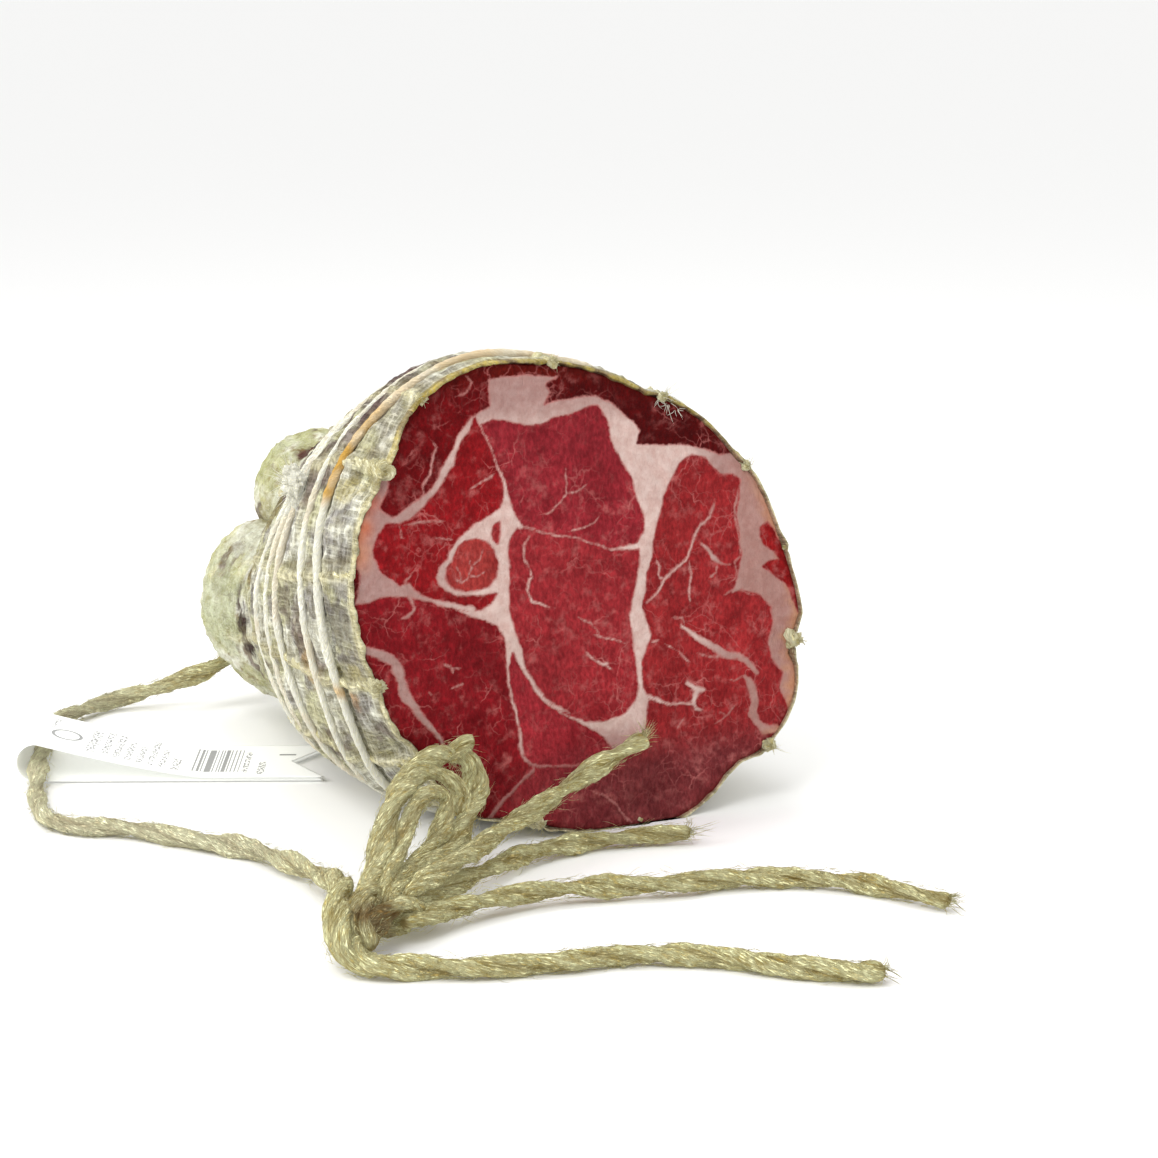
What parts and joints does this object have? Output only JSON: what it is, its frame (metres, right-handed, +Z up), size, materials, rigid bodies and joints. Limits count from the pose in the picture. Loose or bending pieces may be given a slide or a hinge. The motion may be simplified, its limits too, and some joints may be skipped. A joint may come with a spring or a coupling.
{
  "type": "cured coppa half",
  "caption": "Cut half of a dry-cured coppa: marbled face, mouldy tied casing, twine wraps, jute hanging rope tied in a bow, folded paper tag.",
  "frame": {"origin": "on the floor, at the middle of the footprint box of the tied half without its hanging rope and tag", "axes": "+Z up; -Y is the side of the cut face, which leans back by 5 degrees; +Y runs back to the tied end; +X is to the right seen from the cut"},
  "size_m": [0.1749, 0.259, 0.1106],
  "materials": {
    "casing": "dry grey-green mould on a wrinkled natural casing",
    "cut_meat": "moist cut meat with pale fat seams, satin",
    "twine": "white cotton twine",
    "jute": "coarse two-ply jute",
    "tag_paper": "coated label paper"
  },
  "bodies": {
    "root": {"coppa_body": "casing", "twine_1": "twine", "twine_2": "twine", "twine_3": "twine", "twine_4": "twine", "twine_5": "twine", "twine_knot": "twine", "rope_main": "jute", "rope_end_a": "jute", "rope_end_b": "jute", "rope_end_c": "jute", "rope_end_d": "jute", "rope_bow": "jute", "tag": "tag_paper"}
  },
  "joints": []
}
